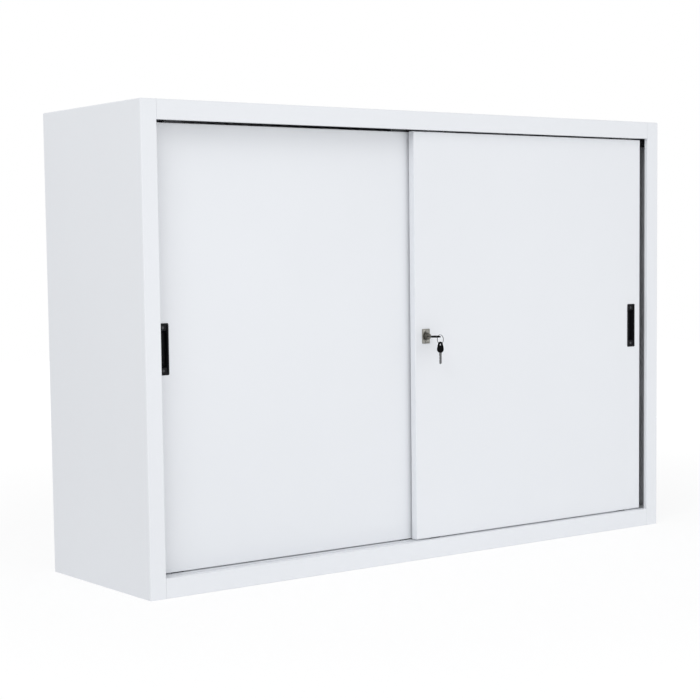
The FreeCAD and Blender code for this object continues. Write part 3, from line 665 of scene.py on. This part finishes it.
class CABINET_OT_lock(bpy.types.Operator):
    """Makes the lock's plate with its raised field, and the barrel with its nose and groove"""

    bl_idname = "cabinet.lock"
    bl_label = "Lock"

    def plate(self, lo, hi, mid, radius):
        """A plate with a flat rim, a slope and a raised field, bored for the barrel."""
        corner, field, rim, slope, edge = 1.5 * MM, 1.0 * MM, 0.5 * MM, 0.9 * MM, 0.2 * MM
        o = block("escutcheon", lo, hi)
        edit(o)
        pick_edges(o, lambda m, d: abs(d.y) > FACING)
        bpy.ops.mesh.bevel(offset=corner, segments=4, affect="EDGES")
        pick_faces(o, lambda m, n: n.y < -FACING)
        shift(y=field)
        inset(rim)
        inset(slope)
        shift(y=-field)
        done()
        bore(o, turned("cutter", (mid.x, mid.y, mid.z), radius, THROUGH, sides=64))
        return soften(o, edge, 2, 25.0)

    def barrel(self, s, lo, hi, mid, radius):
        """A turned housing with a tapered nose and a groove, bored for the plug."""
        land, groove, lip, sink, edge = 1.0 * MM, 0.8 * MM, 0.12 * MM, 0.25 * MM, 0.15 * MM
        o = turned("lock_cylinder", mid, radius, hi.y - lo.y, sides=64)
        edit(o)
        for y in (s.nose, s.nose + land, s.nose + land + groove):
            cut_across((mid.x, lo.y + y, mid.z), (0, 1, 0))
        middle = lo.y + s.nose + land + groove / 2
        pick_faces(o, lambda m, n: abs(n.y) < 1 - FACING and abs(m.y - middle) < groove / 4)
        inset(lip, -sink)
        pick_faces(o, lambda m, n: n.y < -FACING and m.y < lo.y + OVER)
        slim = s.lip / radius
        bpy.ops.transform.resize(value=(slim, 1.0, slim), center_override=mid)
        done()
        bore(o, turned("cutter", mid, s.bore, THROUGH, sides=64))
        return soften(o, edge, 2)

    def execute(self, context):
        s = context.scene.cabinet_key
        lo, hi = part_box("lock_plate")
        blo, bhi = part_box("lock_barrel")
        mid = (blo + bhi) / 2
        radius = (bhi.x - blo.x) / 2
        plate = self.plate(lo, hi, mid, radius)
        finish(plate, "nickel", "front_door", "lock_plate")
        barrel = self.barrel(s, blo, bhi, mid, radius)
        finish(barrel, "nickel", "front_door", "lock_barrel", angle=30.0, kind="barrel_nickel_painted_dark_reflection")
        return {"FINISHED"}


class CABINET_OT_blades(bpy.types.Operator):
    """Cuts the two key blades: bitting, a pointed end and a groove along each face"""

    bl_idname = "cabinet.blades"
    bl_label = "Key blades"

    def cut(self, s, length, width, thick):
        """A blade along +X, with its point at the origin and its bitting towards +Y."""
        slope, tip, near, far, sink, edge = 0.6, 0.15, 0.2 * MM, 1.0 * MM, 0.5 * MM, 0.08 * MM
        o = block("blade", (0, -width / 2, -thick / 2), (length, width / 2, thick / 2))
        flats = [(s.first + s.pitch * k, deep) for k, deep in enumerate(BITTING)]
        edit(o)
        lines = [s.point]
        for at, deep in flats:
            run = s.flat + deep * slope
            lines += [at - run, at - s.flat, at + s.flat, at + run]
        for x in lines:
            cut_across((x, 0, 0), (1, 0, 0))
        pick_faces(o, lambda m, n: n.x < -FACING)
        bpy.ops.transform.resize(value=(1.0, tip, 1.0), center_override=(0, 0, 0))
        for at, deep in flats:
            pick_edges(
                o,
                lambda m, d: abs(d.z) > FACING
                and m.y > width / 2 - edge
                and abs(m.x - at) < s.flat + edge / 4,
            )
            shift(y=-deep)
        done()
        for side in (-1, 1):
            y0, y1 = sorted((-side * near, side * far))
            z0, z1 = sorted((side * (thick / 2 - sink), side * thick))
            bore(o, block("cutter", (-OVER, y0, z0), (s.groove, y1, z1)))
        return soften(o, edge, 2)

    def execute(self, context):
        lo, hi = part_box("key_blade")
        blade = self.cut(context.scene.cabinet_key, hi.y - lo.y, hi.x - lo.x, hi.z - lo.z)
        place = Matrix.Translation(((lo.x + hi.x) / 2, hi.y, (lo.z + hi.z) / 2))
        key = copy_of(blade, place @ Matrix.Rotation(-math.pi / 2, 4, "Z"))
        lo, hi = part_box("spare_key_blade")
        place = Matrix.Translation(((lo.x + hi.x) / 2, (lo.y + hi.y) / 2, lo.z))
        hung = Matrix(((0, -1, 0, 0), (0, 0, -1, 0), (1, 0, 0, 0), (0, 0, 0, 1)))
        spare = copy_of(blade, place @ hung)
        bpy.data.objects.remove(blade)
        finish(merge("blade_in_lock", [key]), "key_steel", "lock_core", "key_blade")
        finish(merge("spare_blade", [spare]), "key_steel", "spare_key", "spare_key_blade")
        return {"FINISHED"}


class CABINET_OT_ring(bpy.types.Operator):
    """Winds the split ring that carries both keys: two turns of wire side by side"""

    bl_idname = "cabinet.ring"
    bl_label = "Key ring"

    def execute(self, context):
        s = context.scene.cabinet_key
        lo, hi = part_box("key_ring")
        mid = (lo + hi) / 2
        radius = (hi.z - lo.z) / 2 - s.wire
        apart = s.wire * 0.85
        turns = []
        for x in (-apart, apart):
            clear()
            bpy.ops.mesh.primitive_torus_add(
                major_radius=radius, minor_radius=s.wire, major_segments=72, minor_segments=12,
                location=mid + Vector((x, 0, 0)), rotation=(0, math.pi / 2, 0))
            turns.append(settle("turn"))
        ring = merge("split_ring", turns)
        finish(ring, "key_steel", "key_ring", "key_ring", angle=60.0, kind="ring_steel")
        return {"FINISHED"}


class CABINET_OT_buffers(bpy.types.Operator):
    """Moulds the two rubber blocks that stop the doors, with rounded edges and three grooves"""

    bl_idname = "cabinet.buffers"
    bl_label = "Buffers"

    def execute(self, context):
        lo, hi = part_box("door_buffers")
        reach, half, deep, edge = 31.5 * MM, 0.8 * MM, 0.7 * MM, 0.7 * MM
        rows = [lo.y + (hi.y - lo.y) * part for part in (0.25, 0.5, 0.75)]
        blocks = []
        for sign in (-1, 1):
            a, b = sorted((sign * hi.x, sign * (hi.x - reach)))
            o = block("buffer", (a, lo.y, lo.z), (b, hi.y, hi.z))
            edit(o)
            for row in rows:
                for off in (-half, half):
                    cut_across((0, row + off, 0), (0, 1, 0))
            pick_faces(
                o,
                lambda m, n: n.x * sign < -FACING and min(abs(m.y - row) for row in rows) < half,
            )
            shift(x=sign * deep)
            done()
            blocks.append(soften(o, edge))
        finish(merge("buffers", blocks), "black_rubber", "carcass", "door_buffers")
        return {"FINISHED"}


class CABINET_OT_screws(bpy.types.Operator):
    """Makes the pan head screws with their cross recess, and sets one at each place"""

    bl_idname = "cabinet.screws"
    bl_label = "Screws"

    def pan_head(self, radius, high):
        """A head with rounded edges that stands on Z = 0, with a cross sunk in it."""
        crown, arm, slot = radius * 0.3, radius * 0.5, radius * 0.13
        deepest, past, edge = high * 0.35, high * 2, radius * 0.16
        o = turned("screw", (0, 0, high / 2), radius, high, "Z", 40)
        edit(o)
        pick_faces(o, lambda m, n: n.z > FACING)
        inset(crown)
        done()
        for x, y in ((slot, arm), (arm, slot)):
            bore(o, block("cutter", (-x, -y, deepest), (x, y, past)))
        return soften(o, edge, 3, 40.0)

    def boxes(self, node):
        """The corners of each solid in a node of repeats, from its loose islands."""
        mesh = bmesh.new()
        mesh.from_mesh(FRAME["nodes"][node].data)
        bmesh.ops.remove_doubles(mesh, verts=mesh.verts, dist=0.001 * MM)
        left, found = set(mesh.verts), []
        while left:
            front, island = [left.pop()], []
            while front:
                v = front.pop()
                island.append(v.co.copy())
                for e in v.link_edges:
                    w = e.other_vert(v)
                    if w in left:
                        left.discard(w)
                        front.append(w)
            lo = Vector([min(c[k] for c in island) for k in range(3)])
            hi = Vector([max(c[k] for c in island) for k in range(3)])
            found.append((lo, hi))
        mesh.free()
        return sorted(found, key=lambda box: tuple(box[0]))

    def drive(self, head, lo, hi, out, high, radius):
        """One screw that fills a box, with its head towards out."""
        mid = (lo + hi) / 2
        half = abs(out.dot(hi - lo)) / 2
        spin = Vector((0, 0, 1)).rotation_difference(out).to_matrix().to_4x4()
        seat = Matrix.Translation(mid + out * (half - high))
        bite, edge = 0.2 * MM, 0.3 * MM
        middle = mid - out * (high - bite) / 2
        axis = "X" if abs(out.x) > 0.5 else "Y"
        shank = turned("shank", middle, radius, 2 * half - high + bite, axis, 20)
        return [copy_of(head, seat @ spin), soften(shank, edge, 2, 60.0)]

    def execute(self, context):
        sets = (
            ("back_screws", "back_panel_screws", 3.4 * MM, 1.2 * MM, 1.7 * MM),
            ("body_screws", "carcass_screws", 3.6 * MM, 2.2 * MM, 1.9 * MM),
        )
        for name, node, wide, high, shank in sets:
            head = self.pan_head(wide, high)
            pieces = []
            for lo, hi in self.boxes(node):
                inward = -1.0 if lo.x > 0 else 1.0
                out = Vector((0, 1, 0)) if name == "back_screws" else Vector((inward, 0, 0))
                pieces += self.drive(head, lo, hi, out, high, shank)
            finish(merge(name, pieces), "zinc_plated", "carcass", node)
            bpy.data.objects.remove(head)
        return {"FINISHED"}


class CABINET_OT_studio(bpy.types.Operator):
    """Sets the floor, the even light, the lamps and the camera"""

    bl_idname = "cabinet.studio"
    bl_label = "Studio"

    def sky(self, s):
        """White where it is seen or mirrored, and a paler even light on everything else."""
        world = bpy.data.worlds.new("studio")
        bpy.context.scene.world = world
        world.use_nodes = True
        tree = world.node_tree
        tree.nodes.clear()
        out = tree.nodes.new("ShaderNodeOutputWorld")
        mix = tree.nodes.new("ShaderNodeMixShader")
        seen = tree.nodes.new("ShaderNodeBackground")
        seen.inputs["Color"].default_value = (1, 1, 1, 1)
        seen.inputs["Strength"].default_value = 1.0
        lit = tree.nodes.new("ShaderNodeBackground")
        lit.inputs["Color"].default_value = (0.985, 0.992, 1.0, 1)
        lit.inputs["Strength"].default_value = s.sky
        rays = tree.nodes.new("ShaderNodeLightPath")
        total = Value(tree, rays.outputs["Is Camera Ray"])
        for kind in ("Is Glossy Ray", "Is Transmission Ray"):
            total = total.math("MAXIMUM", total, Value(tree, rays.outputs[kind]))
        tree.links.new(total.socket, mix.inputs[0])
        tree.links.new(lit.outputs[0], mix.inputs[1])
        tree.links.new(seen.outputs[0], mix.inputs[2])
        tree.links.new(mix.outputs[0], out.inputs[0])

    def floor(self, s):
        """White paper that keeps a pale shadow near the cabinet and fades to plain white."""
        white, near, far, glow, strength = 0.97, 1.0, 3.2, 0.73, 1.05
        clear()
        bpy.ops.mesh.primitive_plane_add(size=s.floor, location=(0, 0, 0))
        o = settle("studio_floor")
        f = Finish("floor_paper", Roughness=0.9, Specular_IOR_Level=0.1)
        paper = [white] * 3
        f.put("Base Color", f.between(f.noise(3.0, 3.0), shade(paper, 0.99), shade(paper, 1.01)))
        away = f.node("ShaderNodeVectorMath", {"operation": "LENGTH"}, Vector=f.place)
        fade = Value(f.tree, away.outputs["Value"]).between(near, far)
        rays = f.node("ShaderNodeLightPath")
        share = Value(f.tree, rays.outputs["Is Camera Ray"]) * (fade * (1 - glow) + glow)
        light = f.node("ShaderNodeEmission", Color=(1, 1, 1, 1), Strength=strength)
        mix = f.node("ShaderNodeMixShader")
        for k, given in enumerate((share.socket, f.shader.outputs[0], light.outputs[0])):
            f.tree.links.new(given, mix.inputs[k])
        f.tree.links.new(mix.outputs[0], f.tree.nodes["Material Output"].inputs["Surface"])
        o.data.materials.append(f.material)

    def lamp(self, name, power, place, target, size):
        """A rectangular lamp at a place, turned to a target."""
        clear()
        bpy.ops.object.light_add(type="AREA", location=place)
        o = bpy.context.object
        o.name = name
        o.data.shape = "RECTANGLE"
        o.data.size, o.data.size_y = size
        o.data.energy = power
        o.rotation_euler = (Vector(target) - Vector(place)).to_track_quat("-Z", "Y").to_euler()

    def camera(self, s):
        """A camera whose picture is shifted, so that upright edges lean less."""
        clear()
        turn = [math.radians(angle) for angle in CAMERA_TURN]
        bpy.ops.object.camera_add(location=CAMERA_PLACE, rotation=turn)
        camera = bpy.context.object
        camera.data.lens = s.lens
        camera.data.sensor_width = SENSOR
        camera.data.shift_x, camera.data.shift_y = CAMERA_SHIFT
        return camera

    def execute(self, context):
        s = context.scene.cabinet_stage
        self.sky(s)
        self.floor(s)
        self.lamp("key_lamp", s.key, **KEY_LAMP)
        self.lamp("low_lamp", s.fill, **LOW_LAMP)
        context.scene.camera = self.camera(s)
        context.scene.view_settings.view_transform = "Standard"
        return {"FINISHED"}


class CABINET_PT_panel(bpy.types.Panel):
    """Sizes, colours and steps of the cabinet"""

    bl_label = "Cabinet"
    bl_idname = "CABINET_PT_panel"
    bl_space_type = "VIEW_3D"
    bl_region_type = "UI"
    bl_category = "Cabinet"

    def draw(self, context):
        for name in GROUPS:
            group = getattr(context.scene, name)
            box = self.layout.box()
            for key in group.__annotations__:
                box.prop(group, key)
        for step in STEPS:
            self.layout.operator(step.bl_idname)


GROUPS = {
    "cabinet_coat": CoatSettings,
    "cabinet_metal": MetalSettings,
    "cabinet_pull": PullSettings,
    "cabinet_key": KeySettings,
    "cabinet_stage": StageSettings,
}
STEPS = (
    CABINET_OT_coats,
    CABINET_OT_pulls,
    CABINET_OT_lock,
    CABINET_OT_blades,
    CABINET_OT_ring,
    CABINET_OT_buffers,
    CABINET_OT_screws,
    CABINET_OT_studio,
)


def register():
    for kind in (*GROUPS.values(), *STEPS, CABINET_PT_panel):
        bpy.utils.register_class(kind)
    for name, group in GROUPS.items():
        setattr(bpy.types.Scene, name, PointerProperty(type=group))


def unregister():
    for name in GROUPS:
        delattr(bpy.types.Scene, name)
    for kind in reversed((*GROUPS.values(), *STEPS, CABINET_PT_panel)):
        bpy.utils.unregister_class(kind)


def main():
    register()
    for step in STEPS:
        group, name = step.bl_idname.split(".")
        getattr(getattr(bpy.ops, group), name)()


if __name__ == "__main__":
    main()
